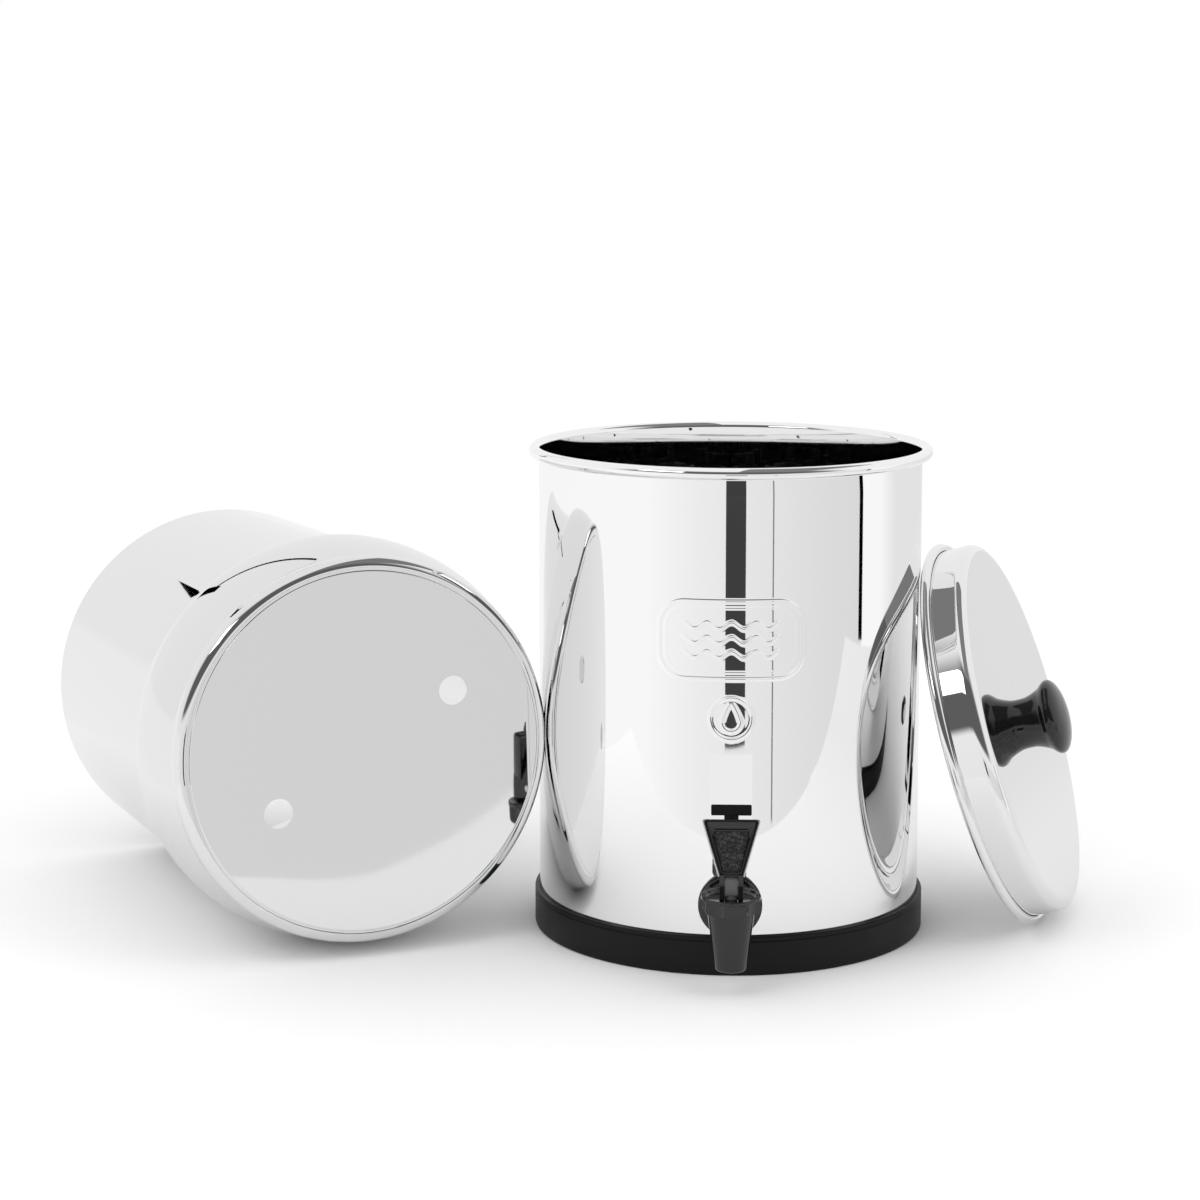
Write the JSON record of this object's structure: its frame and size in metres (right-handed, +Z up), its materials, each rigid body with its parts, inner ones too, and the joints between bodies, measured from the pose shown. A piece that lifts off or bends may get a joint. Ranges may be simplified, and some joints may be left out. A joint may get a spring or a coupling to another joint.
{
  "type": "gravity water filter with tap",
  "caption": "Countertop gravity water filter in polished steel: lower chamber with a lever tap on a rubber base, upper chamber lying beside it, lid with a round knob leaning on it.",
  "frame": {"origin": "on the surface it stands on, under the lower chamber's axis", "axes": "+Z up, tap towards -Y, lid on the +X side, upper chamber on the -X side"},
  "size_m": [0.5199, 0.3144, 0.2304],
  "materials": {
    "polished_steel": "mirror-polished stainless steel sheet",
    "base_rubber": "satin black rubber",
    "black_gloss": "glossy black moulded plastic",
    "grey_plastic": "satin grey moulded plastic",
    "seal_rubber": "smooth black rubber",
    "soft_silicone": "soft white silicone",
    "spring_steel": "bright steel",
    "carbon_block": "matt black carbon block",
    "filter_plastic": "satin black moulded plastic"
  },
  "bodies": {
    "lower": {"lower_chamber": "polished_steel", "rubber_base": "base_rubber", "tap_body": "black_gloss", "tap_outer_washer": "seal_rubber", "tap_inner_washer": "seal_rubber", "tap_nut": "black_gloss", "tap_bonnet": "black_gloss", "tap_spring": "spring_steel"},
    "tap_valve": {"tap_stem": "grey_plastic", "tap_seat_cup": "soft_silicone", "tap_handle_pin": "spring_steel"},
    "tap_lever": {"tap_handle": "black_gloss"},
    "upper": {"upper_chamber": "polished_steel"},
    "lid": {"lid_pan": "polished_steel", "lid_knob": "black_gloss", "lid_knob_washer": "seal_rubber", "lid_knob_screw": "spring_steel"},
    "filter_a": {"filter_a_cartridge": "carbon_block", "filter_a_base_cap": "filter_plastic", "filter_a_stem": "filter_plastic", "filter_a_seal": "seal_rubber"},
    "filter_a_nut": {"filter_a_wing_nut": "filter_plastic"},
    "filter_b": {"filter_b_cartridge": "carbon_block", "filter_b_base_cap": "filter_plastic", "filter_b_stem": "filter_plastic", "filter_b_seal": "seal_rubber"},
    "filter_b_nut": {"filter_b_wing_nut": "filter_plastic"}
  },
  "joints": [
    {"name": "tap_pull", "type": "hinge", "parent": "tap_valve", "child": "tap_lever", "pos_m": [0, -0.1203, 0.0502], "axis": [1, 0, 0], "range_deg": [0, 36], "stiffness_Nm_per_rad": 0.15, "springref_deg": -20.05},
    {"name": "tap_lift", "type": "slide", "parent": "lower", "child": "tap_valve", "axis": [0, 0, 1], "range_m": [0, 0.00314], "deforming": ["tap_spring"]},
    {"name": "upper_chamber_lift", "type": "slide", "parent": "lower", "child": "upper", "axis": [-0.8, 0, 0.6], "range_m": [0, 0.15]},
    {"name": "lid_lift", "type": "slide", "parent": "lower", "child": "lid", "axis": [0.8, 0, 0.6], "range_m": [0, 0.15]},
    {"name": "filter_a_lift", "type": "slide", "parent": "lower", "child": "filter_a", "axis": [0, 0, 1], "range_m": [0, 0.24]},
    {"name": "filter_a_nut_turn", "type": "hinge", "parent": "filter_a", "child": "filter_a_nut", "pos_m": [-0.0295, 0.04197, 0.17], "axis": [0, 0, 1], "continuous": true},
    {"name": "filter_b_lift", "type": "slide", "parent": "lower", "child": "filter_b", "axis": [0, 0, 1], "range_m": [0, 0.24]},
    {"name": "filter_b_nut_turn", "type": "hinge", "parent": "filter_b", "child": "filter_b_nut", "pos_m": [0.0295, 0.04197, 0.17], "axis": [0, 0, 1], "continuous": true}
  ],
  "couplings": [
    {"joint": "tap_pull", "follows": "tap_lift", "rad_per_m": 200}
  ]
}
